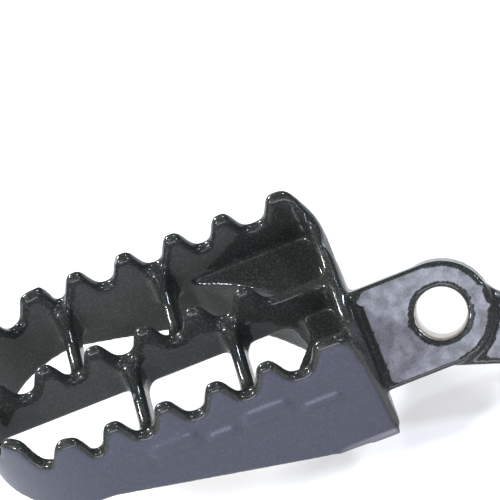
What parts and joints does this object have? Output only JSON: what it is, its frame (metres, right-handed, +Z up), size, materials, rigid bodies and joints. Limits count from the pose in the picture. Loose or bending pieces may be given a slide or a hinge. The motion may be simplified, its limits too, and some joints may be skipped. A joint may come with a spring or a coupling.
{
  "type": "folding foot peg",
  "caption": "Folding motorcycle foot peg, right-hand: toothed open cast platform with a centre rib on a leaning pivot boss, with stop arm and return spring.",
  "frame": {"origin": "middle of the pivot bore, on the pivot axis", "axes": "+X outboard along the platform, +Y forward, +Z up, the way the teeth point; the pivot axis lies in the YZ plane, leaning 45 degrees from level, forward and up"},
  "size_m": [0.115, 0.045, 0.0396],
  "materials": {
    "cast_steel": "dark gunmetal plating over cast steel, semi-gloss, fine grain",
    "bare_steel": "machined, fine turning rings",
    "spring_steel": "drawn wire, zinc plated"
  },
  "bodies": {
    "pivot": {"pivot_sleeve": "bare_steel"},
    "peg": {"front_wall": "cast_steel", "rear_wall": "cast_steel", "nose_wall": "cast_steel", "centre_rib": "cast_steel", "crossbar_front_inner": "cast_steel", "crossbar_rear_inner": "cast_steel", "crossbar_front_outer": "cast_steel", "crossbar_rear_outer": "cast_steel", "end_plate": "cast_steel", "root_block": "cast_steel", "corner_web": "cast_steel", "ear_plate": "cast_steel", "stop_arm": "cast_steel", "pivot_boss": "cast_steel", "return_spring": "spring_steel"}
  },
  "joints": [
    {"name": "fold", "type": "hinge", "parent": "pivot", "child": "peg", "pos_m": [0, 0, 0], "axis": [0, -0.7071, -0.7071], "range_deg": [0, 80], "stiffness_Nm_per_rad": 0.25, "springref_deg": -57.3, "deforming": ["return_spring"]}
  ]
}
